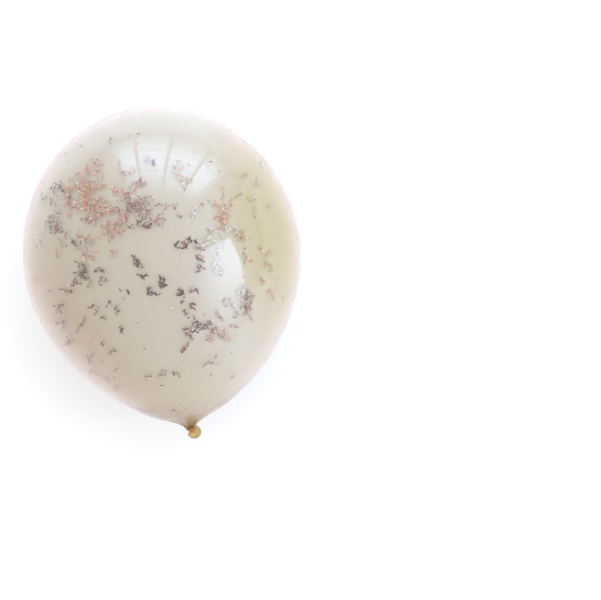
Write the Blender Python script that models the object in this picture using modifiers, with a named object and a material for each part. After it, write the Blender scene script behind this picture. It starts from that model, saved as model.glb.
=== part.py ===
# A round latex party balloon, blown up and tied, lying on its side.
# It is sealed, so it is one solid, and its body, gathered neck, knot and rolled lip are one moulding.
# It is built upright, with the tie at the origin and the crown up, and then laid down.

import math

import bmesh
import bpy
import numpy as np
from mathutils import Vector

# Body, in metres, along the axis from the tie to the crown
BELLY_DIAMETER = 0.400
CROWN_REACH = 0.217  # from the belly, the widest ring, to the crown
SHOULDER_REACH = 0.246  # from the belly to where the shoulder's own curve would close
SHOULDER_FULLNESS = 1.90  # the power that keeps the body round below the belly
SHOULDER_TAPER = 1.44  # 2 would be as blunt as the crown, 1 a cone
BODY_SIDES = 72
CROWN_RINGS = 15
SHOULDER_RINGS = 15

# Neck: a flare from the tie up into the body, gathered into pleats, its end pulled a little to -X
NECK_LENGTH = 0.0050  # from where the shoulder's curve would close to the tie
TIE_RADIUS = 0.0040
TIE_SLOPE = 0.8  # how fast the radius grows with height, at the tie
FLARE_LENGTH = 0.030  # from the tie to where the shoulder takes over
FLARE_PULL = 0.012  # height over which each end of the flare keeps its slope
FLARE_RINGS = 10
PLEATS = 12
PLEAT_DEPTH = 0.0011  # ridge to middle, at the tie
PLEAT_FADE = 0.013  # along the axis, to about a third
PLEAT_TWIST = math.radians(40)  # how far the pleats wind round over the flare
NECK_BEND = 0.0075  # sideways, at the tie
NECK_BEND_LENGTH = 0.085  # from the tie to where the body is straight
NECK_INTO_KNOT = 0.0030  # how far the neck runs on inside the knot
NECK_END_RADIUS = 0.0034

# Knot: the neck's own loop, pulled tight round it
KNOT_LOOP_RADIUS = 0.0032
KNOT_ROLL_RADIUS = 0.0027
KNOT_BELOW_TIE = 0.0010
KNOT_ASIDE = 0.0014  # back to +X from the bent neck
KNOT_TILT = math.radians(14)
KNOT_SIDES = 24
KNOT_ROLL_SIDES = 12

# Tail: the mouth of the balloon beyond the knot, pressed into a fan with a rolled lip
TAIL_ROOT_RADIUS = 0.0026
FAN_CENTRE = 0.0060  # from the middle of the knot
FAN_RADIUS = 0.0086  # of the lip's own line
FAN_HALF_SWEEP = math.radians(100)  # past a half circle, so that its ends curl back beside the knot
LIP_ROLL_RADIUS = 0.0014
LIP_HALF_GAP = 0.0017  # between the lines of the lip's two layers, where they are closest
LIP_YAWN = 1.1  # how much wider that gap is in the middle of the fan
TAIL_WALL = 0.0009
TAIL_HOLLOW_FROM = 0.40  # share of the tail that the knot has closed
ROLL_BLEND = 1.5  # where the wall starts to swell into the roll, in roll radii before the lip's line
TAIL_LEAN = math.radians(-36)  # to +X
TAIL_LIFT = math.radians(-12)  # to the upper side
TAIL_SIDES = 48
TAIL_WALL_RINGS = 5
LIP_RINGS = 9

# Lying down: the neck dips a little, and the skin is pressed flat where it rests
AXIS_DIP = math.radians(5.2)
PRESS_DEPTH = 0.0022
CONTACT_STEPS = 400  # heights tried when looking for the point that touches the ground

LATEX_COLOUR = (0.80, 0.76, 0.66, 1.0)
LATEX_ROUGHNESS = 0.12

BELLY_RADIUS = BELLY_DIAMETER / 2
BELLY_HEIGHT = NECK_LENGTH + SHOULDER_REACH
TOTAL_REACH = BELLY_HEIGHT + CROWN_REACH


def clear_scene():
    for old in list(bpy.data.objects):
        bpy.data.objects.remove(old, do_unlink=True)


def new_collection(name):
    made = bpy.data.collections.new(name)
    bpy.context.scene.collection.children.link(made)
    return made


def shoulder_radius(height):
    """Radius below the belly: the belly's, times (1 - u^fullness)^(1/taper), u running 0 to 1 where it closes."""
    u = (BELLY_HEIGHT - height) / SHOULDER_REACH
    return BELLY_RADIUS * (1 - u**SHOULDER_FULLNESS) ** (1 / SHOULDER_TAPER)


def shoulder_slope(height):
    """How fast that radius grows with height."""
    step = SHOULDER_REACH * 1e-4
    return (shoulder_radius(height + step) - shoulder_radius(height - step)) / (2 * step)


def flare_points():
    """(radius, height) down the flare, a Bezier that leaves the shoulder smoothly and reaches the tie as a cone."""
    slope = shoulder_slope(FLARE_LENGTH)
    top = Vector((shoulder_radius(FLARE_LENGTH), FLARE_LENGTH))
    below_top = top - Vector((slope, 1)) * FLARE_PULL
    tie = Vector((TIE_RADIUS, 0))
    above_tie = tie + Vector((TIE_SLOPE, 1)) * FLARE_PULL
    points = []
    for ring in range(1, FLARE_RINGS + 1):
        t = ring / FLARE_RINGS
        points.append(
            top * (1 - t) ** 3
            + below_top * 3 * t * (1 - t) ** 2
            + above_tie * 3 * t**2 * (1 - t)
            + tie * t**3
        )
    return [tuple(p) for p in points]


def body_profile():
    """(radius, height) from the crown down the outside to the neck's end inside the knot."""
    points = [(0.0, TOTAL_REACH)]
    for ring in range(1, CROWN_RINGS + 1):
        angle = math.pi / 2 * ring / CROWN_RINGS
        points.append((BELLY_RADIUS * math.sin(angle), BELLY_HEIGHT + CROWN_REACH * math.cos(angle)))
    lowest = math.asin((BELLY_HEIGHT - FLARE_LENGTH) / SHOULDER_REACH)
    for ring in range(1, SHOULDER_RINGS + 1):
        height = BELLY_HEIGHT - SHOULDER_REACH * math.sin(lowest * ring / SHOULDER_RINGS)
        points.append((shoulder_radius(height), height))
    points += flare_points()
    points.append((NECK_END_RADIUS, -NECK_INTO_KNOT))
    points.append((0.0, -NECK_INTO_KNOT))
    return points


def object_from(name, mesh, collection):
    made = bpy.data.objects.new(name, mesh)
    collection.objects.link(made)
    return made


def realised(obj):
    """The mesh that an object's modifiers make, as an object that takes its place."""
    bpy.context.view_layer.update()
    graph = bpy.context.evaluated_depsgraph_get()
    mesh = bpy.data.meshes.new_from_object(obj.evaluated_get(graph))
    mesh.transform(obj.matrix_world)
    name = obj.name
    collection = obj.users_collection[0]
    bpy.data.objects.remove(obj, do_unlink=True)
    return object_from(name, mesh, collection)


def turned_body(collection):
    """The body and neck, turned about Z by a Screw."""
    points = [(radius, 0.0, height) for radius, height in body_profile()]
    edges = [(i, i + 1) for i in range(len(points) - 1)]
    mesh = bpy.data.meshes.new("body_profile")
    mesh.from_pydata(points, edges, [])
    body = object_from("outer_balloon", mesh, collection)
    screw = body.modifiers.new("turn", "SCREW")
    screw.steps = screw.render_steps = BODY_SIDES
    screw.use_merge_vertices = True
    screw.merge_threshold = 1e-5
    return realised(body)


def bend_at(height):
    """How far the neck is pulled sideways at a height."""
    return -NECK_BEND * max(0.0, 1 - max(height, 0.0) / NECK_BEND_LENGTH) ** 2


def gather_neck(body):
    """Pleats that wind down the flare to the knot, and the pull to one side."""
    for vertex in body.data.vertices:
        height = max(vertex.co.z, 0.0)
        radius = vertex.co.xy.length
        if radius > TIE_RADIUS / 2:
            around = math.atan2(vertex.co.y, vertex.co.x)
            depth = PLEAT_DEPTH * math.exp(-height / PLEAT_FADE)
            wind = PLEAT_TWIST * height / FLARE_LENGTH
            push = depth * math.cos(PLEATS * (around - wind))
            vertex.co.xy *= 1 + push / radius
        vertex.co.x += bend_at(height)


def knot_middle():
    return (bend_at(0) + KNOT_ASIDE, 0, -KNOT_BELOW_TIE)


def knot_roll(collection):
    """The loop of the knot, a torus tilted round the neck."""
    bpy.ops.mesh.primitive_torus_add(
        major_radius=KNOT_LOOP_RADIUS,
        minor_radius=KNOT_ROLL_RADIUS,
        major_segments=KNOT_SIDES,
        minor_segments=KNOT_ROLL_SIDES,
        location=knot_middle(),
        rotation=(KNOT_TILT, 0, 0),
    )
    roll = bpy.context.active_object
    roll.name = "knot_roll"
    for other in list(roll.users_collection):
        other.objects.unlink(roll)
    collection.objects.link(roll)
    return roll


def lip_line(around):
    """The lip's line: a long oval, two layers and two tight turns, bent round into a fan below the root."""
    half = FAN_RADIUS * FAN_HALF_SWEEP
    turn = math.pi * LIP_HALF_GAP
    stops = np.cumsum([0, turn / 2, 2 * half, turn, 2 * half, turn / 2])
    run = (around / (2 * math.pi) % 1) * stops[-1]
    angle = np.interp(run, stops, np.array([0, 0.5, 0.5, 1.5, 1.5, 2]) * math.pi)
    along = np.interp(run, stops, [half, half, -half, -half, half, half]) + LIP_HALF_GAP * np.cos(angle)
    yawn = 1 + LIP_YAWN * np.cos(along / (half + LIP_HALF_GAP) * math.pi / 2) ** 2
    sweep = along / FAN_RADIUS
    return np.stack([
        FAN_RADIUS * np.sin(sweep),
        LIP_HALF_GAP * np.sin(angle) * yawn,
        -FAN_CENTRE - FAN_RADIUS * np.cos(sweep),
    ], axis=1)


def tail_middle(t, around):
    """The wall's middle surface, straight lines from a round root at t 0 to the lip's line at t 1."""
    root = TAIL_ROOT_RADIUS * np.stack([np.cos(around), np.sin(around), np.zeros_like(around)], axis=1)
    return root + (lip_line(around) - root) * t


def tail_directions(t, around):
    """Unit vectors at the middle surface: along the wall towards the lip, and out of the trumpet."""
    step = 1e-3
    along = tail_middle(t + step, around) - tail_middle(t - step, around)
    across = tail_middle(t, around + step) - tail_middle(t, around - step)
    out = np.cross(along, across)
    unit = [v / np.linalg.norm(v, axis=1, keepdims=True) for v in (along, out)]
    return unit[0], unit[1]


def tail_rings():
    """Closed rings of points down the outside, round the lip's roll and back up the inside."""
    around = np.arange(TAIL_SIDES) * 2 * math.pi / TAIL_SIDES
    half_wall = TAIL_WALL / 2
    wall_end = 1 - ROLL_BLEND * LIP_ROLL_RADIUS / FAN_RADIUS
    outside = []
    for t in np.linspace(0, wall_end, TAIL_WALL_RINGS):
        _, out = tail_directions(t, around)
        outside.append(tail_middle(t, around) + out * half_wall)
    along, out = tail_directions(1.0, around)
    roll_end = math.pi - math.asin(half_wall / LIP_ROLL_RADIUS)
    roll = []
    for angle in np.linspace(roll_end, -roll_end, LIP_RINGS):
        reach = along * math.cos(angle) + out * math.sin(angle)
        roll.append(tail_middle(1.0, around) + reach * LIP_ROLL_RADIUS)
    inside = []
    for t in np.linspace(wall_end, TAIL_HOLLOW_FROM, TAIL_WALL_RINGS):
        _, out = tail_directions(t, around)
        inside.append(tail_middle(t, around) - out * half_wall)
    return outside + roll + inside


def tail(collection):
    """The tail as one closed loft of those rings, leaning from the knot."""
    rings = tail_rings()
    built = bmesh.new()
    rows = [[built.verts.new(point) for point in ring] for ring in rings]
    for upper, lower in zip(rows, rows[1:]):
        for i in range(TAIL_SIDES):
            j = (i + 1) % TAIL_SIDES
            built.faces.new((upper[i], upper[j], lower[j], lower[i]))
    built.faces.new(rows[0])
    built.faces.new(rows[-1])
    bmesh.ops.recalc_face_normals(built, faces=built.faces)
    bmesh.ops.triangulate(built, faces=[f for f in built.faces if len(f.verts) > 4])
    mesh = bpy.data.meshes.new("tail")
    built.to_mesh(mesh)
    built.free()
    made = object_from("tail", mesh, collection)
    made.location = knot_middle()
    made.rotation_euler = (TAIL_LIFT, TAIL_LEAN, 0)
    return made


def join_into(body, pieces):
    """One skin from the body and the pieces that are its own latex."""
    for piece in pieces:
        union = body.modifiers.new("with_" + piece.name, "BOOLEAN")
        union.operation = "UNION"
        union.object = piece
    joined = realised(body)
    for piece in pieces:
        bpy.data.objects.remove(piece, do_unlink=True)
    return joined


def lay_down(body):
    """Turns the crown to +Y, dips the neck, and puts the point that will touch the ground over the origin."""
    contact_height, contact_radius = 0.0, 0.0
    lowest = math.inf
    for height in np.linspace(FLARE_LENGTH, BELLY_HEIGHT, CONTACT_STEPS):
        radius = shoulder_radius(height)
        drop = height * math.sin(AXIS_DIP) - radius * math.cos(AXIS_DIP)
        if drop < lowest:
            lowest, contact_height, contact_radius = drop, height, radius
    forward = contact_height * math.cos(AXIS_DIP) + contact_radius * math.sin(AXIS_DIP)
    body.rotation_euler = (AXIS_DIP - math.pi / 2, 0, 0)
    body.location = (0, -forward, -lowest - PRESS_DEPTH)


def press_flat(body, helpers):
    """Cuts away what lies below the ground, which leaves the small flat spot."""
    side = 2 * TOTAL_REACH
    bpy.ops.mesh.primitive_cube_add(size=side, location=(0, 0, -side / 2))
    ground = bpy.context.active_object
    ground.name = "ground_cutter"
    for other in list(ground.users_collection):
        other.objects.unlink(ground)
    helpers.objects.link(ground)
    ground.hide_render = True
    ground.display_type = "WIRE"
    cut = body.modifiers.new("pressed_flat", "BOOLEAN")
    cut.operation = "DIFFERENCE"
    cut.object = ground


def latex():
    material = bpy.data.materials.new("latex")
    material.use_nodes = True
    shader = material.node_tree.nodes["Principled BSDF"]
    shader.inputs["Base Color"].default_value = LATEX_COLOUR
    shader.inputs["Roughness"].default_value = LATEX_ROUGHNESS
    shader.inputs["Metallic"].default_value = 0.0
    return material


def main():
    clear_scene()
    balloon = new_collection("confetti_balloon")
    helpers = new_collection("cutters")
    body = turned_body(balloon)
    gather_neck(body)
    body = join_into(body, [knot_roll(balloon), tail(balloon)])
    body.data.materials.clear()
    body.data.materials.append(latex())
    body.data.shade_smooth()
    body.data.set_sharp_from_angle(angle=math.radians(40))
    lay_down(body)
    press_flat(body, helpers)


main()
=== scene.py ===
import math

import bpy
import numpy as np
from mathutils import Matrix, Vector


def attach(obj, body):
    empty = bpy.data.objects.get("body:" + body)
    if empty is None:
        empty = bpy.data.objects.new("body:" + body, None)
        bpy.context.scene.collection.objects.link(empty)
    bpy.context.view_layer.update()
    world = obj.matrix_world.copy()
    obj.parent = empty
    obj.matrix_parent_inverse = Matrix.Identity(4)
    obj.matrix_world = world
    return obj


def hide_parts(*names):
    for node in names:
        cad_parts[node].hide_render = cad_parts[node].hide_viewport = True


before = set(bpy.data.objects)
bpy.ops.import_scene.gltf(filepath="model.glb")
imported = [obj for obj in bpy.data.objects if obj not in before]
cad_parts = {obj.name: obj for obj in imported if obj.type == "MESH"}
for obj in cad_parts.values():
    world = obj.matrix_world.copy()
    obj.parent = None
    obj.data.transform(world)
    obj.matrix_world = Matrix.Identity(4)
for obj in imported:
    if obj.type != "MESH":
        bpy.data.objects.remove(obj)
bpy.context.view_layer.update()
print("frame loaded:", list(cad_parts))

# The balloon, in metres, with the sizes that the solid has
balloon = {
    "bellyDiameter": 0.400,
    "crownReach": 0.217,  # from the belly, the widest ring
    "shoulderReach": 0.246,  # from the belly to where the shoulder's own curve would close
    "fullness": 1.90,
    "taper": 1.44,
    "neckLength": 0.005,  # from there to the tie
    "tieRadius": 0.0040,
    "tieSlope": 0.8,
    "flareLength": 0.030,
    "flarePull": 0.012,
    "neckEndRadius": 0.0034,
    "intoKnot": 0.0030,
    "neckBend": 0.0075,
    "neckBendLength": 0.085,
}
lying = {
    "dip": math.radians(5.2),  # of the neck
    "press": 0.0022,  # how far the skin's lowest point would pass the floor
}


# radius below the belly: belly radius x (1 - u^fullness)^(1/taper), u going 0 to 1 from the belly to where
# that curve closes, a neck's length above the tie
def shoulderRadius(shape, height):
    u = (shape["neckLength"] + shape["shoulderReach"] - height) / shape["shoulderReach"]
    return shape["bellyDiameter"] / 2 * (1 - u ** shape["fullness"]) ** (1 / shape["taper"])


# the meridian as (radius, height) rows, from the neck's end up: a straight neck, a Bezier flare that leaves
# the tie as a cone and meets the shoulder's slope, the shoulder by its formula, and a quarter ellipse
def meridian(shape, steps=500):
    flare, pull = shape["flareLength"], shape["flarePull"]
    bellyHeight = shape["neckLength"] + shape["shoulderReach"]
    nudge = flare * 1e-3
    rise = shoulderRadius(shape, flare + nudge) - shoulderRadius(shape, flare - nudge)
    top = np.array([shoulderRadius(shape, flare), flare])
    tie = np.array([shape["tieRadius"], 0.0])
    underTop = top - np.array([rise / (2 * nudge), 1.0]) * pull
    overTie = tie + np.array([shape["tieSlope"], 1.0]) * pull
    t = np.linspace(0, 1, steps)[:, None]
    neck = np.array([shape["neckEndRadius"], -shape["intoKnot"]]) * (1 - t) + tie * t
    curve = tie * (1 - t) ** 3 + overTie * 3 * t * (1 - t) ** 2 + underTop * 3 * t**2 * (1 - t) + top * t**3
    lowest = math.asin((bellyHeight - flare) / shape["shoulderReach"])
    heights = bellyHeight - shape["shoulderReach"] * np.sin(lowest * (1 - t))
    shoulder = np.hstack([shoulderRadius(shape, heights), heights])
    turn = t * math.pi / 2
    crown = np.hstack([
        shape["bellyDiameter"] / 2 * np.cos(turn),
        bellyHeight + shape["crownReach"] * np.sin(turn),
    ])
    crown[-1, 0] = 0
    return np.vstack([neck[:-1], curve[:-1], shoulder[:-1], crown])


# a row's run along the meridian, in metres from the neck's end
def runAlong(curve):
    return np.concatenate([[0], np.cumsum(np.hypot(*np.diff(curve, axis=0).T))])


# upright to lying: a turn about X by dip - 90 degrees, the lowest point of the skin over the origin, and
# what would pass the floor pressed flat against it
sinDip, cosDip = math.sin(lying["dip"]), math.cos(lying["dip"])
profile = meridian(balloon)
touch = profile[np.argmin(profile[:, 1] * sinDip - profile[:, 0] * cosDip)]
turnDown = np.array(Matrix.Rotation(lying["dip"] - math.pi / 2, 3, "X"))
shiftDown = np.array([
    0,
    -touch[1] * cosDip - touch[0] * sinDip,
    -touch[1] * sinDip + touch[0] * cosDip - lying["press"],
])


# what would come nearer to the floor than the clearance is pressed flat
def layDown(points, clearance=0.0):
    laid = points @ turnDown.T + shiftDown
    laid[..., 2] = np.maximum(laid[..., 2], clearance)
    return laid


# The camera looks square across the balloon's axis from above, where the picture is taken from
shot = {
    "mmPerPixel": 1.445,
    "pixels": (601, 600),
    "neckPixel": (194.5, 424),  # where the shoulder's curve would close
    "lean": math.radians(10.5),  # of the crown, to the left
    "lens": 100.0,
    "sensor": 36.0,
}
shotScale = shot["mmPerPixel"] / 1000
shotAxis = np.array([0, cosDip, sinDip])
shotBack = np.array([0, -sinDip, cosDip])
shotRight = np.array([math.cos(shot["lean"]), 0, 0]) - shotAxis * math.sin(shot["lean"])
shotUp = np.array([math.sin(shot["lean"]), 0, 0]) + shotAxis * math.cos(shot["lean"])


# a pixel's place on the plane through the balloon's axis that faces the camera
def onPlane(x, y):
    neck = layDown(np.array([0, 0, balloon["neckLength"]]))
    across = (np.asarray(x) - shot["neckPixel"][0])[..., None] * shotScale
    upwards = (shot["neckPixel"][1] - np.asarray(y))[..., None] * shotScale
    return neck + shotRight * across + shotUp * upwards


shotDistance = shot["lens"] / shot["sensor"] * shot["pixels"][0] * shotScale
shotPlace = onPlane(shot["pixels"][0] / 2, shot["pixels"][1] / 2) + shotBack * shotDistance


# its own axes are the picture's right, up and back
def makeCamera():
    data = bpy.data.cameras.new("camera")
    data.lens = shot["lens"]
    data.sensor_width = shot["sensor"]
    camera = bpy.data.objects.new("camera", data)
    turn = Matrix(np.stack([shotRight, shotUp, shotBack], axis=1).tolist()).to_4x4()
    camera.matrix_world = Matrix.Translation(Vector(shotPlace)) @ turn
    bpy.context.scene.collection.objects.link(camera)
    bpy.context.scene.camera = camera


makeCamera()


# quads between neighbouring rows of a grid whose rows are closed rings, pointing out when the rows go up
def ringQuads(rows, sides, start=0):
    row, side = np.meshgrid(np.arange(rows - 1), np.arange(sides), indexing="ij")
    low = start + row * sides + side
    lowNext = start + row * sides + (side + 1) % sides
    return np.stack([low, lowNext, lowNext + sides, low + sides], axis=-1).reshape(-1, 4)


# triangles from a ring to its pole
def poleFan(first, sides, pole, flip=False):
    side = np.arange(sides)
    fan = np.stack([first + side, first + (side + 1) % sides, np.full(sides, pole)], axis=-1)
    return fan[:, ::-1] if flip else fan


# a visible piece that rides on the solid's one body, with a value at each point for each attribute
def newPiece(name, points, faces, material, attributes=None):
    mesh = bpy.data.meshes.new(name)
    mesh.from_pydata(points.tolist(), [], faces)
    mesh.shade_smooth()
    for label, values in (attributes or {}).items():
        layer = mesh.attributes.new(label, "FLOAT", "POINT")
        layer.data.foreach_set("value", values.astype(np.float32))
    mesh.materials.append(material)
    piece = bpy.data.objects.new(name, mesh)
    bpy.context.scene.collection.objects.link(piece)
    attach(piece, "root")
    print(name, len(mesh.polygons), "faces")
    return piece


# sRGB hex to linear colour
def hexColour(code, alpha=1.0):
    channels = [int(code[i:i + 2], 16) / 255 for i in (1, 3, 5)]
    return [c / 12.92 if c <= 0.04045 else ((c + 0.055) / 1.055) ** 2.4 for c in channels] + [alpha]


# adds a node, sets its properties and inputs, and links what is given as a socket
def addNode(tree, kind, props=None, **inputs):
    node = tree.nodes.new(kind)
    for label, value in (props or {}).items():
        setattr(node, label, value)
    for label, value in inputs.items():
        socket = node.inputs[int(label[1:])] if label[1:].isdigit() else node.inputs[label.replace("_", " ")]
        if isinstance(value, bpy.types.NodeSocket):
            tree.links.new(value, socket)
        else:
            socket.default_value = value
    return node


def newMaterial(name):
    material = bpy.data.materials.new(name)
    material.use_nodes = True
    tree = material.node_tree
    tree.nodes.clear()
    shader = addNode(tree, "ShaderNodeBsdfPrincipled")
    output = addNode(tree, "ShaderNodeOutputMaterial")
    tree.links.new(shader.outputs["BSDF"], output.inputs["Surface"])
    return material, tree, shader


# values that are the same all over the surface, on the shader's own sockets
def setAllOver(shader, values):
    for label, value in values.items():
        shader.inputs[label].default_value = value


# a colour ramp with (place, hex colour) stops
def rampOf(tree, factor, stops):
    ramp = addNode(tree, "ShaderNodeValToRGB", i0=factor)
    elements = ramp.color_ramp.elements
    while len(elements) < len(stops):
        elements.new(0.5)
    for element, (place, colour) in zip(elements, stops):
        element.position = place
        element.color = hexColour(colour)
    return ramp


latexIor = 1.5  # of natural rubber

# Clear natural rubber latex, dipped and cured, stretched to about a tenth of a millimetre: see-through,
# glossy, a faint pink where it is looked at edge on, and amber where it is hardly stretched, by the neck;
# its colour is darkened by painted shade in the neck's furrows and on the left of the neck
film = {
    "wall": 0.0003,
    "clearance": 0.0002,  # over the floor
    "rows": 150,
    "sides": 256,
    "rowSpread": 1.5,  # rows crowd towards the neck by this power
    # waves round the neck: count, size, phase, share of the twist, and the count that they swell by
    "pleats": ((12, 1.0, 0.0, 1.0, 0), (19, 0.45, 0.8, 1.2, 0), (5, 0.3, 2.0, 1.0, 0)),
    "creases": ((31, 1.0, 0.5, 0.7, 4), (47, 0.6, 1.4, 1.0, 0)),
    "pleatDepth": 0.0011,
    "pleatCrest": 1.3,  # what the pleats' waves commonly reach together
    "pleatFade": 0.013,  # above the tie, as are the next fades
    "pleatTwist": math.radians(40),
    "creaseDepth": 0.0003,
    "creaseFade": 0.035,
    "pleatShade": 0.35,  # how dark the painted shade in the furrows is
    "creaseShade": 0.5,
    "shadeFade": 0.016,
    "leftShadeAngle": math.radians(270),  # a band of painted shade that darkens the left of the neck, round this angle
    "leftShadeWidth": math.radians(20),
    "leftShadeDepth": 0.9,
    "leftShadeFade": 0.035,
    "clear": "#fffefc",
    "warm": "#fdf8ee",
    "amber": "#ead2a4",
    "amberReach": 0.09,  # from the tie to where it is clear
    "warmShare": 0.25,  # of that reach
    # painted shade: the colour that the crease attribute mixes in
    "furrowShade": "#94704f",
    "roughness": 0.05,
    "neckRoughness": 0.35,
    "mattShare": (0.05, 0.6),  # of that reach, over which the neck turns glossy
    "tint": "#ac8c9a",  # through its length, which shows where it is seen edge on
    "tintDensity": 85.0,  # a metre
    "haze": "#efc9c2",  # seen edge on
    "hazeWeight": 0.5,
    "hazeSpread": 0.35,  # the sheen's roughness
}


def clearLatex():
    material, tree, shader = newMaterial("clearStretchedLatex")
    place = addNode(tree, "ShaderNodeTexCoord").outputs["Object"]
    along = addNode(tree, "ShaderNodeSeparateXYZ", Vector=place).outputs["Y"]
    neckY = float(layDown(np.zeros((1, 3)))[0, 1])
    clearY = neckY + film["amberReach"]
    reach = addNode(tree, "ShaderNodeMapRange", Value=along, From_Min=neckY, From_Max=clearY)
    stops = [(0.0, film["amber"]), (film["warmShare"], film["warm"]), (1.0, film["clear"])]
    ramp = rampOf(tree, reach.outputs[0], stops)
    # the crease attribute holds painted shade: the furrows and a band on the left of the neck darkened
    crease = addNode(tree, "ShaderNodeAttribute", {"attribute_name": "crease"}).outputs["Fac"]
    withPaintedShade = addNode(tree, "ShaderNodeMix", {"data_type": "RGBA"}, i0=crease,
                      i6=ramp.outputs["Color"], i7=hexColour(film["furrowShade"]))
    tree.links.new(withPaintedShade.outputs[2], shader.inputs["Base Color"])
    matt = addNode(tree, "ShaderNodeMapRange", Value=reach.outputs[0], From_Min=film["mattShare"][0],
                   From_Max=film["mattShare"][1], To_Min=film["neckRoughness"], To_Max=film["roughness"])
    tree.links.new(matt.outputs[0], shader.inputs["Roughness"])
    depth = addNode(tree, "ShaderNodeVolumeAbsorption", Color=hexColour(film["tint"]),
                    Density=film["tintDensity"])
    tree.links.new(depth.outputs[0], tree.nodes["Material Output"].inputs["Volume"])
    setAllOver(shader, {
        "Transmission Weight": 1.0,
        "IOR": latexIor,
        "Sheen Weight": film["hazeWeight"],
        "Sheen Roughness": film["hazeSpread"],
        "Sheen Tint": hexColour(film["haze"]),
    })
    return material


# how far the neck is pulled sideways at a height, a parabola that ends level
def bendAt(height):
    share = 1 - np.clip(height, 0, None) / balloon["neckBendLength"]
    return -balloon["neckBend"] * np.clip(share, 0, None) ** 2


# the sum of size x cos(count x (angle - share x twist) + phase) x cos(swell x angle)
def wavesRound(waves, angle, twist=0.0):
    return sum(size * np.cos(count * (angle - share * twist) + phase) * np.cos(swell * angle)
               for count, size, phase, share, swell in waves)


# the skin as rings: the meridian turned about the axis, pushed in and out by pleats and fine creases that
# wind down the flare and die out up from the tie, and pulled sideways at the neck; with each point's
# painted shade, which is dark in the furrows and in a band on the left of the neck
def skinRings(inset):
    curve = meridian(balloon)
    run = runAlong(curve)
    rowRun = run[-1] * np.linspace(0, 1, film["rows"] + 1)[:-1] ** film["rowSpread"]
    radius = np.interp(rowRun, run, curve[:, 0])
    height = np.interp(rowRun, run, curve[:, 1])
    step = 1e-4
    dRadius = np.interp(rowRun + step, run, curve[:, 0]) - np.interp(rowRun - step, run, curve[:, 0])
    dHeight = np.interp(rowRun + step, run, curve[:, 1]) - np.interp(rowRun - step, run, curve[:, 1])
    slope = np.hypot(dRadius, dHeight)
    radius = (radius - inset * dHeight / slope)[:, None]
    height = (height + inset * dRadius / slope)[:, None]
    around = np.linspace(0, 2 * math.pi, film["sides"], endpoint=False)[None, :]
    above = np.clip(height, 0, None)
    wind = film["pleatTwist"] * above / balloon["flareLength"]
    pleat = wavesRound(film["pleats"], around, wind)
    fine = wavesRound(film["creases"], around, wind)
    push = film["pleatDepth"] * np.exp(-above / film["pleatFade"]) * pleat / film["pleatCrest"]
    push = push + film["creaseDepth"] * np.exp(-above / film["creaseFade"]) * fine
    x = (radius + push) * np.sin(around) + bendAt(height)
    y = -(radius + push) * np.cos(around)
    furrowShade = np.clip(-film["pleatShade"] * pleat - film["creaseShade"] * fine, 0, 1)
    leftShade = np.exp(-((around - film["leftShadeAngle"]) / film["leftShadeWidth"]) ** 2)
    crease = np.maximum(
        furrowShade * np.exp(-above / film["shadeFade"]),
        film["leftShadeDepth"] * leftShade * np.exp(-above / film["leftShadeFade"]),
    )
    return np.stack([x, y, height + 0 * around], axis=-1).reshape(-1, 3), crease.ravel()


# the outer rings, the same a wall's thickness in, a pole for each, and a rim between them at the neck's end
def makeClearSkin():
    wall, clearance, rows, sides = film["wall"], film["clearance"], film["rows"], film["sides"]
    crownHeight = balloon["neckLength"] + balloon["shoulderReach"] + balloon["crownReach"]
    outer, crease = skinRings(0.0)
    outer = np.vstack([outer, [[0, 0, crownHeight]]])
    inner = np.vstack([skinRings(wall)[0], [[0, 0, crownHeight - wall]]])
    count = rows * sides + 1
    points = np.vstack([layDown(outer, clearance), layDown(inner, clearance + wall)])
    faces = ringQuads(rows, sides).tolist()
    faces += poleFan((rows - 1) * sides, sides, count - 1).tolist()
    faces += ringQuads(rows, sides, count)[:, ::-1].tolist()
    faces += poleFan(count + (rows - 1) * sides, sides, 2 * count - 1, flip=True).tolist()
    side = np.arange(sides)
    following = (side + 1) % sides
    faces += np.stack([following, side, count + side, count + following], axis=-1).tolist()
    # painted shade of the furrows and of the left of the neck, carried as the crease attribute
    creases = {"crease": np.tile(np.append(crease, 0), 2)}
    skin = newPiece("clearSkin", points, faces, clearLatex(), creases)
    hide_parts("outer_balloon")


makeClearSkin()


# The balloon inside, a little smaller than the skin and resting against it: dipped latex with an ivory
# pigment, stretched, so opaque and satin, with a painted yellow cast of reflected light towards +X
ivory = {
    "bellyDiameter": 0.392,
    "crownReach": 0.211,
    "shoulderReach": 0.242,
    "fullness": 1.92,
    "taper": 1.44,
    "neckLength": 0.004,
    "tieRadius": 0.0026,
    "tieSlope": 0.6,
    "flareLength": 0.024,
    "flarePull": 0.010,
    "neckEndRadius": 0.0022,
    "intoKnot": 0.0030,
    "tieHeight": 0.006,
    "aside": 0.0010,  # towards +X
    "sunk": 0.0010,  # towards the floor
    "settleLength": 0.045,
    "clearance": 0.0012,  # over the floor
    "rows": 120,
    "sides": 160,
    "rowSpread": 1.4,
    "pleats": 9,
    "pleatDepth": 0.0006,
    "pleatPhase": 1.0,
    "pleatFade": 0.012,
    "cream": "#f3edd9",
    "paintedStrawCast": "#dcc87e",  # a painted yellow cast of reflected light, towards +X
    "paintedCastShare": (0.45, 0.92),  # of the belly's radius, over which it comes in
    "buff": "#ecd3b6",  # towards the neck and -X
    "buffWay": (-0.9, -0.45, 0),
    "buffReach": (0.08, 0.20),  # that way, in metres, over which it comes in
    "cloudScale": 6.0,  # clouds a metre, by which the painted yellow cast and the buff come in unevenly
    "cloudShift": 0.03,  # to either side, in metres
    "roughness": 0.4,
}


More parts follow.
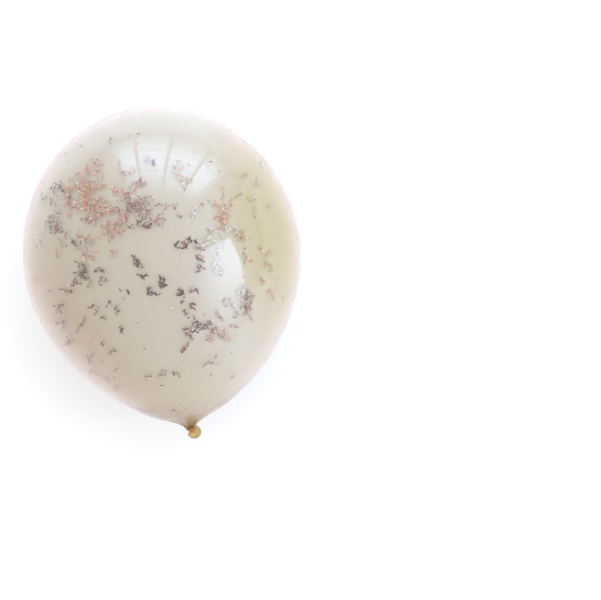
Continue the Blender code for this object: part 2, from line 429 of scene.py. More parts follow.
def ivoryLatex():
    material, tree, shader = newMaterial("ivoryStretchedLatex")
    place = addNode(tree, "ShaderNodeTexCoord").outputs["Object"]
    cloud = addNode(tree, "ShaderNodeTexNoise", Vector=place, Scale=ivory["cloudScale"], Detail=2.0)
    drift = addNode(tree, "ShaderNodeMapRange", Value=cloud.outputs["Fac"],
                    To_Min=-ivory["cloudShift"], To_Max=ivory["cloudShift"])
    across = addNode(tree, "ShaderNodeSeparateXYZ", Vector=place).outputs["X"]
    right = addNode(tree, "ShaderNodeMath", i0=across, i1=drift.outputs[0])
    reach = addNode(tree, "ShaderNodeMapRange", Value=right.outputs[0], From_Max=ivory["bellyDiameter"] / 2)
    # painted yellow cast of reflected light, coming in towards +X
    castStart, castEnd = ivory["paintedCastShare"]
    ramp = rampOf(tree, reach.outputs[0], [(castStart, ivory["cream"]), (castEnd, ivory["paintedStrawCast"])])
    lowLeft = addNode(tree, "ShaderNodeVectorMath", {"operation": "DOT_PRODUCT"},
                      i0=place, i1=ivory["buffWay"])
    left = addNode(tree, "ShaderNodeMath", i0=lowLeft.outputs["Value"], i1=drift.outputs[0])
    away = addNode(tree, "ShaderNodeMapRange", {"interpolation_type": "SMOOTHSTEP"},
                   Value=left.outputs[0], From_Min=ivory["buffReach"][0], From_Max=ivory["buffReach"][1])
    whole = addNode(tree, "ShaderNodeMix", {"data_type": "RGBA"}, i0=away.outputs[0],
                    i6=ramp.outputs["Color"], i7=hexColour(ivory["buff"]))
    tree.links.new(whole.outputs[2], shader.inputs["Base Color"])
    setAllOver(shader, {"Roughness": ivory["roughness"], "IOR": latexIor})
    return material


# the same kind of meridian turned, with a few pleats by the tie, and moved sideways and down by a smooth
# step s^2 (3 - 2 s), s going 0 to 1 up from the tie
def makeInnerBalloon():
    curve = meridian(ivory)
    run = runAlong(curve)
    rowRun = run[-1] * np.linspace(0, 1, ivory["rows"] + 1)[:-1] ** ivory["rowSpread"]
    radius = np.interp(rowRun, run, curve[:, 0])[:, None]
    height = np.interp(rowRun, run, curve[:, 1])[:, None] + ivory["tieHeight"]
    around = np.linspace(0, 2 * math.pi, ivory["sides"], endpoint=False)[None, :]
    s = np.clip(height / ivory["settleLength"], 0, 1)
    settle = s**2 * (3 - 2 * s)
    push = ivory["pleatDepth"] * np.exp(-np.clip(height, 0, None) / ivory["pleatFade"])
    push = push * np.cos(ivory["pleats"] * around + ivory["pleatPhase"])
    aside = -balloon["neckBend"] * (1 - settle) + ivory["aside"] * settle
    x = (radius + push) * np.sin(around) + aside
    y = -(radius + push) * np.cos(around) + ivory["sunk"] * settle
    rings = np.stack([x, y, height + 0 * around], axis=-1).reshape(-1, 3)
    low = np.array([[-balloon["neckBend"], 0, height[0, 0]]])
    high = np.array([[ivory["aside"], ivory["sunk"], curve[-1, 1] + ivory["tieHeight"]]])
    points = layDown(np.vstack([rings, high, low]), ivory["clearance"])
    rows, sides = ivory["rows"], ivory["sides"]
    faces = ringQuads(rows, sides).tolist()
    faces += poleFan((rows - 1) * sides, sides, rows * sides).tolist()
    faces += poleFan(0, sides, rows * sides + 1, flip=True).tolist()
    newPiece("innerBalloon", points, faces, ivoryLatex())


makeInnerBalloon()


# The foil between the two, which clings to the skin in drifts: shreds of plastic film, vacuum-metallised
# under a rose-gold lacquer, so bright metal, but crumpled; how much lighter or darker each looks, by what it
# would mirror, is painted into its colour by its tone and its painted shine
foil = {
    "seed": 11,
    "length": (0.0030, 0.0074),
    "longShare": 0.06,
    "longTimes": 1.9,
    "width": (0.0009, 0.0019),
    "endWidth": 0.35,  # of the middle's
    "taper": 0.5,  # spread of how much wider one end is
    "waist": 0.22,  # how far its edges come in and go out
    "thickness": 0.00012,
    "stations": 6,
    "gap": 0.0004,  # under the skin
    "headroom": 0.0019,  # the most that a shred lifts from the skin, short of the inner balloon
    "clearance": 0.0009,  # over the floor
    "heights": (0.012, 0.458),  # the lowest and highest place on the skin, up from the tie
    # spreads of the turns that each shred makes, in radians
    "sway": 1.3,
    "wobble": 0.6,
    "phase": 3.0,
    "curl": (0.1, 0.9),
    "pitch": 0.18,
    "roll": 0.3,
    "twist": 0.6,
    # tone picks the colour: dark and red-brown, plum, rose, copper, gold, and the white of a glint; the dark
    # end is painted reflection of shade and the white a painted glint
    "colours": ((0.0, "#4d362d"), (0.15, "#8a5a54"), (0.3, "#bf9592"), (0.42, "#edc9c1"), (0.52, "#efa688"),
                (0.67, "#cfa768"), (1.0, "#ffffff")),
    "toneSpread": 0.09,
    # share of shreds painted white, as glints
    "paintedGlintShare": 0.07,
    "paintedShine": 0.5,  # painted shine, which lightens or darkens the colour for what a shred would mirror: each shred's own, with its spread, and the spread along it
    "paintedShineSpread": 0.2,
    "paintedShineAlong": 0.25,
    "paintedShineValue": (0.65, 1.5),  # what no shine and full shine multiply the colour by
    "roughness": 0.3,
}
# How shreds cling to one another, end to end
chain = {
    "shreds": 6,
    "fewest": 5,
    "leastStep": 0.0019,  # from one shred to the next
    "wander": 0.5,  # spread of the turn from one shred to the next, in radians
    "turn": 0.6,  # spread of a shred's own turn from the chain's way
    "jitter": 0.4,  # spread of its place, in steps
    # share of the drift's size that it takes up, and spread of its middle, among others and alone
    "among": (0.5, 0.32),
    "alone": (0.9, 0.05),
}
crowding = 1.65  # shreds for each one counted in the drifts below

# The drifts that the picture shows: x, y, width and height in its pixels, number of shreds, and tone, which
# holds painted reflection too: near white where a drift glints, dark where it mirrors shade
drifts = {
    "darkFork": (48, 194, 13, 18, 18, 0.05), "darkFleck": (58, 183, 9, 11, 12, 0.05),
    "brownStem": (61, 190, 7, 12, 8, 0.12), "copperWest": (67, 196, 14, 9, 22, 0.48),
    "copperPeak": (78, 185, 21, 18, 50, 0.49), "copperTip": (83, 178, 8, 8, 8, 0.46),
    "goldRing": (86, 192, 16, 15, 24, 0.60), "copperBranch": (98, 186, 11, 5, 12, 0.50),
    "copperSpur": (67, 207, 13, 8, 18, 0.50), "copperHeart": (94, 204, 22, 13, 66, 0.51),
    "copperCore": (81, 201, 11, 12, 28, 0.48), "brownFoot": (93, 216, 13, 11, 30, 0.41),
    "oliveFoot": (82, 219, 7, 9, 6, 0.28), "topCurl": (96, 163, 10, 6, 12, 0.42),
    "topCopper": (86, 168, 12, 8, 16, 0.45), "roseArc": (98, 173, 11, 6, 10, 0.50),
    "roseStrand": (109, 213, 10, 12, 18, 0.50), "roseFan": (124, 169, 19, 8, 20, 0.44),
    "roseArch": (117, 190, 14, 8, 14, 0.46), "plumRose": (138, 184, 14, 11, 26, 0.38),
    "plumHeart": (140, 210, 34, 26, 116, 0.30), "plumFoot": (145, 222, 10, 6, 12, 0.12),
    "paleRose": (109, 228, 22, 20, 50, 0.43), "paleStrand": (121, 215, 14, 14, 26, 0.40),
    "roseSpot": (88, 238, 10, 9, 16, 0.44), "plumArc": (73, 241, 15, 12, 24, 0.26),
    "plumCloud": (53, 223, 17, 24, 44, 0.19), "rimRose": (37, 199, 5, 10, 6, 0.36),
    "rimRoseLow": (37, 247, 5, 13, 8, 0.34), "westFleck": (57, 254, 4, 5, 3, 0.24),
    "roseRibbon": (91, 253, 16, 5, 10, 0.44), "roseKnot": (84, 255, 10, 8, 12, 0.38),
    "roseMote": (115, 252, 9, 10, 6, 0.40), "crownFleck": (109, 139, 6, 5, 3, 0.25),
    "rimGrey": (79, 144, 12, 8, 5, 0.27), "rimGreyLow": (63, 154, 8, 11, 5, 0.27),
    "crownRose": (147, 159, 9, 10, 9, 0.34), "crownSpark": (179, 163, 10, 7, 9, 0.42),
    "crownGold": (182, 179, 13, 18, 28, 0.76),
    "plumCluster": (81, 271, 18, 20, 44, 0.19), "plumTail": (98, 283, 15, 9, 12, 0.28),
    "elbow": (65, 286, 12, 14, 11, 0.18), "rimFleck": (36, 276, 6, 15, 6, 0.32),
    "darkHook": (111, 314, 15, 17, 17, 0.10), "darkTrail": (98, 308, 18, 14, 7, 0.10),
    "darkChain": (137, 258, 8, 19, 13, 0.12), "darkDrop": (143, 274, 7, 9, 7, 0.07),
    "darkBird": (163, 285, 10, 14, 15, 0.02), "darkWing": (147, 294, 14, 9, 11, 0.02),
    "midMote": (129, 292, 5, 5, 2, 0.10), "darkSeed": (182, 294, 8, 15, 13, 0.09),
    "brownSeed": (193, 292, 8, 10, 7, 0.15), "brownNeck": (192, 310, 9, 11, 10, 0.08),
    "brownHorse": (195, 322, 18, 11, 20, 0.11), "brownHoof": (189, 332, 21, 16, 18, 0.15),
    "redTwig": (58, 315, 16, 22, 20, 0.16), "darkTwig": (79, 328, 9, 15, 5, 0.20),
    "lowMote": (84, 319, 5, 3, 2, 0.16),
    "blackPair": (199, 267, 8, 13, 10, 0.06), "darkComma": (179, 244, 12, 9, 9, 0.10),
    "darkStar": (192, 240, 11, 9, 10, 0.12), "greyStar": (199, 253, 8, 9, 9, 0.30),
    "glintCloud": (211, 246, 18, 18, 30, 0.93), "glintStream": (218, 264, 7, 19, 15, 0.96),
    "greyRope": (180, 209, 6, 15, 6, 0.36), "glintRope": (200, 209, 8, 22, 9, 0.9),
    "glintBrow": (211, 203, 18, 6, 9, 0.86), "copperEast": (224, 212, 13, 23, 46, 0.50),
    "paneCorner": (232, 228, 14, 10, 16, 0.96), "paneTop": (218, 232, 18, 10, 11, 0.96),
    "goldBird": (249, 177, 11, 8, 8, 0.68), "goldWing": (257, 183, 8, 9, 7, 0.70),
    "goldMote": (239, 195, 5, 8, 4, 0.70), "goldPear": (253, 199, 6, 8, 6, 0.60),
    "goldStem": (256, 211, 4, 15, 4, 0.66), "goldLeaf": (267, 203, 8, 9, 6, 0.72),
    "goldRoot": (246, 234, 14, 11, 14, 0.66), "goldEye": (247, 261, 10, 9, 9, 0.76),
    "goldChain": (266, 251, 12, 9, 10, 0.70), "goldCross": (272, 269, 8, 16, 12, 0.68),
    "goldDust": (264, 281, 7, 7, 4, 0.66), "roseCrumb": (226, 306, 12, 12, 12, 0.36),
    "roseCrumbLow": (224, 316, 15, 7, 9, 0.34), "greyCrumb": (209, 329, 11, 9, 10, 0.24),
    "greyCrumbLow": (211, 340, 8, 6, 6, 0.28), "plumChain": (229, 335, 22, 12, 20, 0.32),
    "brownEast": (246, 304, 14, 28, 48, 0.30), "glintEast": (243, 288, 10, 16, 14, 0.93),
    "eastMote": (268, 293, 12, 11, 8, 0.55), "rimEast": (285, 298, 4, 16, 5, 0.55),
    "redRim": (69, 345, 8, 15, 16, 0.17), "redRimLow": (88, 359, 6, 8, 9, 0.17),
    "redFork": (94, 370, 7, 8, 10, 0.16), "darkRim": (107, 379, 7, 6, 6, 0.20),
    "redTail": (114, 388, 8, 6, 8, 0.17), "brownComma": (115, 371, 4, 6, 3, 0.20),
    "greyComma": (111, 353, 7, 7, 5, 0.16), "greyDash": (102, 344, 6, 3, 2, 0.16),
    "neckPair": (147, 377, 6, 5, 3, 0.18), "neckSpray": (171, 373, 13, 12, 9, 0.22),
    "neckDash": (184, 347, 15, 8, 6, 0.22), "neckLine": (211, 364, 15, 5, 4, 0.22),
    "neckFar": (234, 377, 9, 5, 3, 0.24), "neckRose": (160, 413, 44, 8, 30, 0.32),
    "neckMote": (196, 410, 8, 3, 2, 0.25), "neckBlush": (175, 415, 12, 6, 12, 0.36),
}
# The rest, which the picture doesn't show: more drifts round the back, loose shreds, and some fallen low
elsewhere = {
    "drifts": 40,
    "perDrift": 30,
    "driftHeight": (0.06, 0.44),  # up from the tie
    "driftAngle": (80, 280),  # round from the top, in degrees
    "driftSize": (0.012, 0.050),
    "driftTone": (0.05, 0.7),
    "loose": 260,
    "looseHeight": (0.03, 0.455),
    "looseTone": (0.05, 0.5),
    "below": 160,
    "belowHeight": (0.2, 0.06),  # mean and spread
    "belowAngle": (math.pi, 0.16),
    "belowTone": (0.1, 0.8),
}


def roseGoldFoil():
    material, tree, shader = newMaterial("roseGoldMetallisedFilm")
    tone = addNode(tree, "ShaderNodeAttribute", {"attribute_name": "tone"}).outputs["Fac"]
    ramp = rampOf(tree, tone, foil["colours"])
    # painted shine: the colour made lighter or darker, as by what the shred would mirror
    paintedShine = addNode(tree, "ShaderNodeAttribute", {"attribute_name": "paintedShine"}).outputs["Fac"]
    dull, bright = foil["paintedShineValue"]
    value = addNode(tree, "ShaderNodeMapRange", Value=paintedShine, To_Min=dull, To_Max=bright)
    shaded = addNode(tree, "ShaderNodeHueSaturation", Color=ramp.outputs["Color"], Value=value.outputs[0])
    tree.links.new(shaded.outputs["Color"], shader.inputs["Base Color"])
    setAllOver(shader, {"Metallic": 1.0, "Roughness": foil["roughness"]})
    return material


# where the rays through pixels first meet the skin, as height above the tie and turn from the top; each ray
# is sampled from above the belly to the axis, and meets the skin where its distance from the axis falls to
# the radius
def castOnSkin(x, y, curve, above=0.25, samples=500):
    ends = onPlane(x, y)
    reach = np.linspace(above, 0.0, samples)[None, :, None]
    towards = shotPlace - ends
    towards = towards / (towards @ shotBack)[:, None]
    upright = (ends[:, None, :] + towards[:, None, :] * reach - shiftDown) @ turnDown
    distance = np.hypot(upright[..., 0], upright[..., 1])
    inside = distance < np.interp(upright[..., 2], curve[:, 1], curve[:, 0])
    first = np.argmax(inside, axis=1)
    hit = upright[np.arange(len(first)), first]
    return hit[:, 2], np.arctan2(hit[:, 0], -hit[:, 1]), inside.any(axis=1)


# shreds in chains: each chain is a line that wanders from shred to shred by a random turn, scaled to its
# share of the drift's size but never to less than a least step, and put somewhere within the drift
def chainsOf(rng, size, count, leastStep):
    places, ways = [], []
    for part in np.array_split(np.arange(count), max(1, round(count / chain["shreds"]))):
        share, spread = chain["alone"] if len(part) == count else chain["among"]
        way = rng.uniform(0, 2 * math.pi) + np.cumsum(rng.normal(0, chain["wander"], len(part)))
        line = np.cumsum(np.stack([np.cos(way), np.sin(way)], axis=-1), axis=0)
        step = np.maximum(size * share / max(len(part), chain["fewest"]), leastStep)
        line = (line - line.mean(axis=0) + rng.normal(0, chain["jitter"], (len(part), 2))) * step
        places.append(line + rng.normal(0, spread, 2) * size)
        ways.append(way + rng.normal(0, chain["turn"], len(part)))
    return np.vstack(places), np.concatenate(ways)


# height, turn, heading and tone of the shreds in the drifts of the picture: a shred's pixel and one a bit
# ahead of it are cast on the skin, and the heading is the way from the one to the other
def shownPlaces(rng, curve, pixelsAhead=0.7):
    spots, ways, tones = [], [], []
    for x, y, width, height, count, tone in drifts.values():
        number = round(count * crowding)
        places, way = chainsOf(rng, np.array([width, height]), number, chain["leastStep"] / shotScale)
        spots.append(places + [x, y])
        ways.append(way)
        tones.append(tone + rng.normal(0, foil["toneSpread"], number))
    spots, ways, tones = np.vstack(spots), np.concatenate(ways), np.concatenate(tones)
    ahead = spots + np.stack([np.cos(ways), np.sin(ways)], axis=-1) * pixelsAhead
    along, turn, met = castOnSkin(spots[:, 0], spots[:, 1], curve)
    alongAhead, turnAhead, metAhead = castOnSkin(ahead[:, 0], ahead[:, 1], curve)
    radius = np.interp(along, curve[:, 1], curve[:, 0])
    heading = np.arctan2(alongAhead - along, radius * (turnAhead - turn))
    met = met & metAhead
    return along[met], turn[met], heading[met], tones[met]


# the same of the shreds round the back, loose all over, and fallen below
def otherPlaces(rng, curve):
    along, turn, heading, tones = [], [], [], []
    perDrift, loose, below = elsewhere["perDrift"], elsewhere["loose"], elsewhere["below"]
    for _ in range(elsewhere["drifts"]):
        middle = rng.uniform(*elsewhere["driftHeight"])
        angle = math.radians(rng.uniform(*elsewhere["driftAngle"]))
        places, way = chainsOf(rng, rng.uniform(*elsewhere["driftSize"], 2), perDrift, chain["leastStep"])
        along.append(middle + places[:, 1])
        turn.append(angle + places[:, 0] / np.interp(middle, curve[:, 1], curve[:, 0]))
        heading.append(way)
        tones.append(rng.uniform(*elsewhere["driftTone"]) + rng.normal(0, foil["toneSpread"], perDrift))
    along.append(rng.uniform(*elsewhere["looseHeight"], loose))
    turn.append(rng.uniform(0, 2 * math.pi, loose))
    tones.append(rng.uniform(*elsewhere["looseTone"], loose))
    along.append(rng.normal(*elsewhere["belowHeight"], below))
    turn.append(rng.normal(*elsewhere["belowAngle"], below))
    tones.append(rng.uniform(*elsewhere["belowTone"], below))
    heading.append(rng.uniform(0, 2 * math.pi, loose + below))
    return [np.concatenate(part) for part in (along, turn, heading, tones)]


# points on the skin by height and turn from the top, each with the ways east, north and out of the skin
def skinFrames(curve, along, turn, step=1e-4):
    radius = np.interp(along, curve[:, 1], curve[:, 0])
    growth = (np.interp(along + step, curve[:, 1], curve[:, 0]) - radius) / step
    steep = np.hypot(growth, 1)
    foot = np.stack([radius * np.sin(turn) + bendAt(along), -radius * np.cos(turn), along], axis=-1)
    east = np.stack([np.cos(turn), np.sin(turn), 0 * turn], axis=-1)
    out = np.stack([np.sin(turn) / steep, -np.cos(turn) / steep, -growth / steep], axis=-1)
    return foot, east, np.cross(out, east), out


# each shred is a strip carried along a path that wanders and curls: heading and lift are sums of turns
# along it, the strip twists about the path, and the whole lies in the skin's own tangent plane, dropped by
# (u^2 + v^2) / (2 radius) to follow the skin; the lift is held down to headroom x tanh(lift / headroom)
def makeFoil(name, placesOf, seed):
    rng = np.random.default_rng(seed)
    curve = meridian(balloon)
    along, turn, heading, tone = placesOf(rng, curve)
    number, stations = len(along), foil["stations"]
    tone = np.clip(np.where(rng.random(number) < foil["paintedGlintShare"], 1.0, tone), 0, 1)
    foot, east, north, out = skinFrames(curve, np.clip(along, *foil["heights"]), turn)

    def each(values):
        return values[:, None]

    t = np.linspace(-0.5, 0.5, stations)[None, :]
    length = each(rng.uniform(*foil["length"], number))
    length = length * each(np.where(rng.random(number) < foil["longShare"], foil["longTimes"], 1.0))
    width = each(rng.uniform(*foil["width"], number))
    sway = each(rng.normal(0, foil["sway"], number))
    wobble = each(rng.normal(0, foil["wobble"], number))
    phase = each(rng.normal(0, foil["phase"], number))
    path = each(heading) + sway * t + wobble * np.sin(2 * math.pi * t + phase)
    curl = each(rng.uniform(*foil["curl"], number) * rng.choice([-1, 1], number))
    pitch = curl * t * 2 + each(rng.normal(0, foil["pitch"], number))
    ds = length / (stations - 1)
    u = np.cumsum(np.cos(path) * np.cos(pitch) * ds, axis=1)
    v = np.cumsum(np.sin(path) * np.cos(pitch) * ds, axis=1)
    lift = np.cumsum(np.sin(pitch) * ds, axis=1)
    u, v = u - u.mean(axis=1, keepdims=True), v - v.mean(axis=1, keepdims=True)
    roll = each(rng.normal(0, foil["roll"], number)) + each(rng.normal(0, foil["twist"], number)) * t
    lift = foil["headroom"] * np.tanh((lift - lift.min(axis=1, keepdims=True)) / foil["headroom"])
    lift = lift + foil["gap"] + width / 2 * np.abs(np.sin(roll))
    drop = lift + (u**2 + v**2) / balloon["bellyDiameter"]
    bulge = np.sqrt(np.clip(1 - (2 * t) ** 4, 0, 1))
    half = width / 2 * (foil["endWidth"] + (1 - foil["endWidth"]) * bulge)
    taper = each(rng.normal(0, foil["taper"], number))
    half = half * (1 + taper * t + foil["waist"] * np.cos(3 * math.pi * t + phase))
    thin = foil["thickness"] / 2
    sideways = [-np.sin(path) * np.cos(roll), np.cos(path) * np.cos(roll), np.sin(roll)]
    upwards = [np.sin(path) * np.sin(roll), -np.cos(path) * np.sin(roll), np.cos(roll)]
    corners = []
    for across, up in ((1, 1), (-1, 1), (-1, -1), (1, -1)):
        parts = zip((u, v, -drop), sideways, upwards, (east, north, out))
        corner = foot[:, None, :]
        for middle, side, face, way in parts:
            corner = corner + (middle + across * half * side + up * thin * face)[..., None] * way[:, None, :]
        corners.append(corner)
    points = layDown(np.stack(corners, axis=2).reshape(-1, 3), foil["clearance"])
    ring = np.arange(4)
    first = np.arange(number) * stations * 4
    low = first[:, None, None] + (np.arange(stations - 1) * 4)[None, :, None] + ring
    lowNext = low - ring + (ring + 1) % 4
    sides = np.stack([low, low + 4, lowNext + 4, lowNext], axis=-1).reshape(-1, 4)
    starts = first[:, None] + ring
    ends = first[:, None] + (stations - 1) * 4 + ring[::-1]
    faces = sides.tolist() + starts.tolist() + ends.tolist()
    # each shred's painted shine, its own and varying along it
    paintedShine = each(rng.normal(foil["paintedShine"], foil["paintedShineSpread"], number))
    paintedShine = paintedShine + each(rng.normal(0, foil["paintedShineAlong"], number)) * np.sin(math.pi * t + phase)
    paintedShine = np.clip(paintedShine, 0, 1)
    attributes = {"tone": np.repeat(tone, stations * 4), "paintedShine": np.repeat(paintedShine.ravel(), 4)}
    newPiece(name, points, faces, roseGoldFoil(), attributes)


makeFoil("foilDrifts", shownPlaces, foil["seed"])
makeFoil("looseFoil", otherPlaces, foil["seed"] + 1)


# The knot and the mouth of the balloon beyond it: the same latex unstretched, so amber, satin and thick
# enough for light to scatter in it, and powdered unevenly
amber = {
    # from the painted shade of the knot's furrows, over the mouth, to the lip's edge
    "colours": ((0.0, "#8a4f2e"), (0.3, "#c28f4c"), (0.6, "#dcbc72"), (0.82, "#d6c288"), (1.0, "#8f8356")),
    "cloudScale": 260.0,  # mottles of about 4 mm
    "mottle": (0.75, 1.2),  # what they multiply the colour by
    "bumpStrength": 0.25,
    "bumpHeight": 0.0002,
    "roughness": 0.35,
    "scatter": 0.35,
    "scatterColour": (1.0, 0.6, 0.25),
    "scatterReach": 0.003,
}
knot = {
    "belowTie": 0.0010,
    "aside": 0.0014,
    "loopRadius": 0.0032,
    "rollRadius": 0.0027,
    "rollFullness": 0.35,  # the lower, the blunter its ends
    "blunt": 0.004,  # share of the roll left out at each end
    "turns": 1.25,
    "startAngle": 0.4,
    "rise": 0.0022,
    "ribs": 7,
    "ribTwist": 3,
    "ribDepth": 0.05,
    "tilt": math.radians(14),
    "tone": 0.15,
    # painted shade: how much darker the furrows between the ribs are, and lighter the ribs
    "ribShade": 0.9,
    "rows": 120,
    "sides": 40,
}
mouth = {
    "rootRadius": 0.0026,
    "fanCentre": 0.0060,
    "fanRadius": 0.0086,
    "halfSweep": math.radians(100),
    "halfGap": 0.0017,  # between its two layers
    "yawn": 1.1,  # how much wider the gap is in the middle
    "wall": 0.0009,
    "creases": ((11, 1.0, 0.7, 0, 0), (23, 0.6, 2.1, 0, 0)),  # waves, as the skin's
    "creaseDepth": 0.00016,
    "hollowFrom": 0.40,  # share of the way to the lip
    "lipRoll": 0.0014,
    "lipRoom": 1.5,  # lip rolls from the wall's end to the lip's line
    "lipWaves": ((9, 0.05, 0, 0, 0), (31, 0.03, 1, 0, 0)),
    "lean": math.radians(-36),
    "lift": math.radians(-12),
    "tone": 0.85,
    "sides": 144,
    "wallRows": 22,
    "lipRows": 17,
}


def amberLatex():
    material, tree, shader = newMaterial("amberUnstretchedLatex")
    place = addNode(tree, "ShaderNodeTexCoord").outputs["Object"]
    cloud = addNode(tree, "ShaderNodeTexNoise", Vector=place, Scale=amber["cloudScale"], Detail=3.0)
    outwards = addNode(tree, "ShaderNodeAttribute", {"attribute_name": "outwards"}).outputs["Fac"]
    ramp = rampOf(tree, outwards, amber["colours"])
    mottle = addNode(tree, "ShaderNodeMapRange", Value=cloud.outputs["Fac"],
                     To_Min=amber["mottle"][0], To_Max=amber["mottle"][1])
    shaded = addNode(tree, "ShaderNodeHueSaturation", Color=ramp.outputs["Color"], Value=mottle.outputs[0])
    tree.links.new(shaded.outputs["Color"], shader.inputs["Base Color"])
    bump = addNode(tree, "ShaderNodeBump", Height=cloud.outputs["Fac"],
                   Strength=amber["bumpStrength"], Distance=amber["bumpHeight"])
    tree.links.new(bump.outputs["Normal"], shader.inputs["Normal"])
    setAllOver(shader, {
        "Roughness": amber["roughness"],
        "Subsurface Weight": amber["scatter"],
        "Subsurface Radius": amber["scatterColour"],
        "Subsurface Scale": amber["scatterReach"],
    })
    return material


# under the tie, and a little to the side that the neck isn't pulled to
def knotMiddle():
    return np.array([bendAt(0.0) + knot["aside"], 0, -knot["belowTie"]])


# the lip's line: a long oval of two layers and two tight turns, bent round into a fan under the root
def lipLine(around):
    half = mouth["fanRadius"] * mouth["halfSweep"]
    turn = math.pi * mouth["halfGap"]
    stops = np.cumsum([0, turn / 2, 2 * half, turn, 2 * half, turn / 2])
    run = (around / (2 * math.pi) % 1) * stops[-1]
    angle = np.interp(run, stops, np.array([0, 0.5, 0.5, 1.5, 1.5, 2]) * math.pi)
    along = np.interp(run, stops, [half, half, -half, -half, half, half]) + mouth["halfGap"] * np.cos(angle)
    yawn = 1 + mouth["yawn"] * np.cos(along / (half + mouth["halfGap"]) * math.pi / 2) ** 2
    sweep = along / mouth["fanRadius"]
    x = mouth["fanRadius"] * np.sin(sweep)
    y = mouth["halfGap"] * np.sin(angle) * yawn
    return np.stack([x, y, -mouth["fanCentre"] - mouth["fanRadius"] * np.cos(sweep)], axis=-1)


# straight lines from a round root to the lip's line
def mouthMiddle(t, around):
    root = mouth["rootRadius"] * np.stack([np.cos(around), np.sin(around), 0 * around], axis=-1)
    return root + (lipLine(around) - root) * t


# the ways along those lines and square out of the wall, by small differences
def mouthWays(t, around, step=1e-3):
    along = mouthMiddle(t + step, around) - mouthMiddle(t - step, around)
    out = np.cross(along, mouthMiddle(t, around + step) - mouthMiddle(t, around - step))
    return [way / np.linalg.norm(way, axis=-1, keepdims=True) for way in (along, out)]


# rings closed by a pole at either end, with the faces of rings that go downwards
def cappedRings(points, rows, sides):
    faces = ringQuads(rows, sides)[:, ::-1].tolist()
    faces += poleFan(0, sides, rows * sides).tolist()
    faces += poleFan((rows - 1) * sides, sides, rows * sides + 1, flip=True).tolist()
    return np.vstack([points, points[:sides].mean(axis=0), points[-sides:].mean(axis=0)]), faces


# the mouth: down the outside, round the lip's roll and back up the inside, with creases towards the root
def mouthSurface():
    around = np.arange(mouth["sides"]) * 2 * math.pi / mouth["sides"]
    crease = wavesRound(mouth["creases"], around)
    rings, outwards = [], []

    def wallRings(start, end, side):
        for t in np.linspace(start, end, mouth["wallRows"]):
            depth = side * mouth["wall"] / 2 + mouth["creaseDepth"] * crease * (1 - t)
            rings.append(mouthMiddle(t, around) + mouthWays(t, around)[1] * depth[:, None])
            outwards.append(mouth["tone"] * t)

    wallEnd = 1 - mouth["lipRoom"] * mouth["lipRoll"] / mouth["fanRadius"]
    wallRings(0, wallEnd, 1)
    along, out = mouthWays(1.0, around)
    rollSize = mouth["lipRoll"] * (1 + wavesRound(mouth["lipWaves"], around))
    rollEnd = math.pi - math.asin(mouth["wall"] / 2 / mouth["lipRoll"])
    for angle in np.linspace(rollEnd, -rollEnd, mouth["lipRows"]):
        reach = along * math.cos(angle) + out * math.sin(angle)
        rings.append(mouthMiddle(1.0, around) + reach * rollSize[:, None])
        outwards.append(mouth["tone"] + (1 - mouth["tone"]) * max(0, math.cos(angle)))
    wallRings(wallEnd, mouth["hollowFrom"], -1)
    points, faces = cappedRings(np.vstack(rings), len(rings), mouth["sides"])
    turn = np.array(Matrix.Rotation(mouth["lean"], 3, "Y") @ Matrix.Rotation(mouth["lift"], 3, "X"))
    outwards = np.append(np.repeat(outwards, mouth["sides"]), [outwards[0], outwards[-1]])
    return points @ turn.T + knotMiddle(), faces, outwards


# the knot: a fat roll wound once and a quarter round the neck, thickest in the middle and ribbed along it,
# with its colour painted darker in the furrows between the ribs, as shade
def knotSurface():
    rows, sides, blunt = knot["rows"], knot["sides"], knot["blunt"]
    t = np.linspace(0, 1, rows)[:, None]
    section = np.linspace(0, 2 * math.pi, sides, endpoint=False)[None, :]
    wound = 2 * math.pi * knot["turns"] * t + knot["startAngle"]
    rib = np.cos(knot["ribs"] * section + knot["ribTwist"] * wound)
    fat = knot["rollRadius"] * np.sin(math.pi * np.clip(t, blunt, 1 - blunt)) ** knot["rollFullness"]
    fat = fat * (1 + knot["ribDepth"] * rib)
    loop = knot["loopRadius"] + fat * np.cos(section)
    x = loop * np.sin(wound)
    y = -loop * np.cos(wound)
    z = (t - 0.5) * knot["rise"] + fat * np.sin(section)
    points, faces = cappedRings(np.stack([x, y, z], axis=-1).reshape(-1, 3), rows, sides)
    turn = np.array(Matrix.Rotation(knot["tilt"], 3, "X"))
    # painted shade: the colour darker in the furrows between the ribs and lighter on them
    outwards = knot["tone"] * (1 + knot["ribShade"] * rib).ravel()
    return points @ turn.T + knotMiddle(), faces, np.append(outwards, [0, 0])


# one piece of the two, each with its share outwards from the root, which picks the colour
def makeKnotAndLip():
    mouthPoints, mouthFaces, mouthOutwards = mouthSurface()
    knotPoints, knotFaces, knotOutwards = knotSurface()
    points = np.vstack([mouthPoints, knotPoints])
    faces = mouthFaces + [[i + len(mouthPoints) for i in face] for face in knotFaces]
    outwards = {"outwards": np.append(mouthOutwards, knotOutwards)}
    piece = newPiece("knotAndLip", layDown(points), faces, amberLatex(), outwards)
    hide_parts("outer_balloon")


makeKnotAndLip()


# Floor: matt white paper, a hair below the balloon
paper = {"colour": "#fcfbfa", "roughness": 0.9, "radius": 12, "sides": 96, "below": 0.0003}


def makeFloor():
    material, tree, shader = newMaterial("mattWhitePaper")
    setAllOver(shader, {"Base Color": hexColour(paper["colour"]), "Roughness": paper["roughness"]})
    bpy.ops.mesh.primitive_circle_add(
        vertices=paper["sides"], radius=paper["radius"], fill_type="NGON", location=(0, 0, -paper["below"]))
    floor = bpy.context.active_object
    floor.name = "floor"
    floor.data.materials.append(material)


makeFloor()


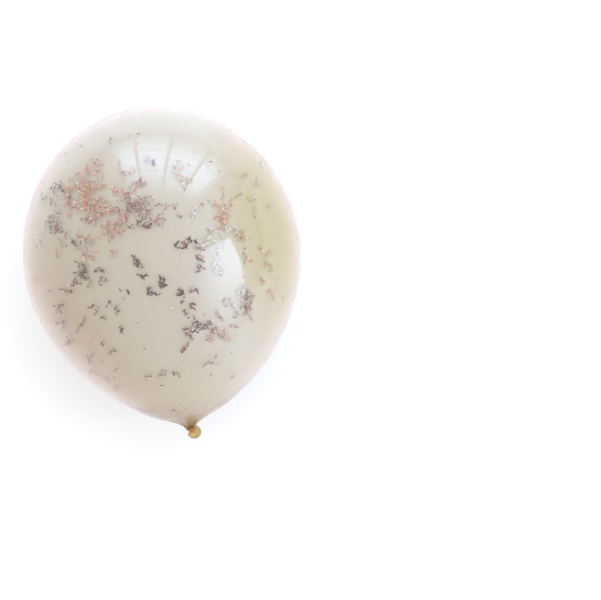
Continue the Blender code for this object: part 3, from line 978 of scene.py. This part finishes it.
# A row of tall panes with a blind stands behind the crown, and a slanted one to the right of the belly
studio = {
    "sky": "#fffdfa",
    "skyStrength": 1.08,
    "daylight": "#c1d9ff",
    "slatShade": 0.6,
    "panes": {
        "number": 4,
        "width": 0.72,
        "height": 3.2,
        "gap": 0.05,
        "away": 2.0,
        "compass": math.radians(17),
        "brightness": 4.5,
        "slats": 12,
        "fade": 0.05,
        "outerFade": 0.6,
        "lowerFade": 0.4,
        "upperFade": 0.7,
    },
    "window": {
        "place": (1.65, -1.48, 1.53),
        "facing": (0, 0, 0.2),
        "size": (3.3, 2.2),
        "roll": math.radians(45),
        "brightness": 4.7,
        "fades": (0.75, 0.06, 0.05, 0.9),
    },
}
waveBands = 3.2  # that a Wave node draws across a width of 1 at scale 1


# an area light that faces a point, by its size and the brightness of its face; fades are the shares of its
# width and height over which it fades to its left, right, lower and upper edge, and slats a blind's shades
def softbox(name, place, towards, size, brightness, fades, slats=0, roll=0.0):
    data = bpy.data.lights.new(name, "AREA")
    data.color = hexColour(studio["daylight"])[:3]
    data.shape = "RECTANGLE"
    data.size, data.size_y = size
    data.energy = brightness * math.pi * size[0] * size[1]
    data.use_nodes = True
    tree = data.node_tree
    across = addNode(tree, "ShaderNodeNewGeometry").outputs["Parametric"]
    sides = addNode(tree, "ShaderNodeSeparateXYZ", Vector=across)
    bright = None
    for edge, fade in enumerate(fades):
        start, end = (0.0, fade) if edge % 2 == 0 else (1.0, 1.0 - fade)
        near = addNode(tree, "ShaderNodeMapRange", {"interpolation_type": "SMOOTHSTEP"},
                       Value=sides.outputs[edge // 2], From_Min=start, From_Max=end).outputs[0]
        bright = near if bright is None else addNode(
            tree, "ShaderNodeMath", {"operation": "MULTIPLY"}, i0=bright, i1=near).outputs[0]
    if slats:
        wave = addNode(
            tree, "ShaderNodeTexWave", {"bands_direction": "Y"}, Vector=across, Scale=slats / waveBands)
        shade = addNode(
            tree, "ShaderNodeMapRange", Value=wave.outputs["Fac"], To_Min=studio["slatShade"], To_Max=1.0)
        bright = addNode(
            tree, "ShaderNodeMath", {"operation": "MULTIPLY"}, i0=bright, i1=shade.outputs[0]).outputs[0]
    tree.links.new(bright, tree.nodes["Emission"].inputs["Strength"])
    lamp = bpy.data.objects.new(name, data)
    turn = (Vector(place) - Vector(towards)).to_track_quat("Z", "Y").to_matrix()
    lamp.matrix_world = Matrix.Translation(place) @ (turn @ Matrix.Rotation(roll, 3, "Z")).to_4x4()
    lamp.visible_camera = False
    bpy.context.scene.collection.objects.link(lamp)


def makeLights():
    panes = studio["panes"]
    out = Vector((math.sin(panes["compass"]), math.cos(panes["compass"]), 0))
    side = Vector((out.y, -out.x, 0))
    for pane in range(panes["number"]):
        offset = (pane - (panes["number"] - 1) / 2) * (panes["width"] + panes["gap"])
        place = out * panes["away"] + side * offset + Vector((0, 0, panes["height"] / 2))
        size = (panes["width"], panes["height"])
        fades = (
            panes["outerFade"] if pane == panes["number"] - 1 else panes["fade"],
            panes["outerFade"] if pane == 0 else panes["fade"],
            panes["lowerFade"], panes["upperFade"],
        )
        softbox(f"pane{pane + 1}", place, place - out, size, panes["brightness"], fades, panes["slats"])
    window = studio["window"]
    softbox("sideWindow", window["place"], window["facing"], window["size"], window["brightness"],
            window["fades"], roll=window["roll"])
    world = bpy.data.worlds.new("studio")
    world.use_nodes = True
    back = world.node_tree.nodes["Background"]
    back.inputs["Color"].default_value = hexColour(studio["sky"])
    back.inputs["Strength"].default_value = studio["skyStrength"]
    bpy.context.scene.world = world
    bpy.context.scene.view_settings.view_transform = "Standard"


makeLights()
print("scene made")
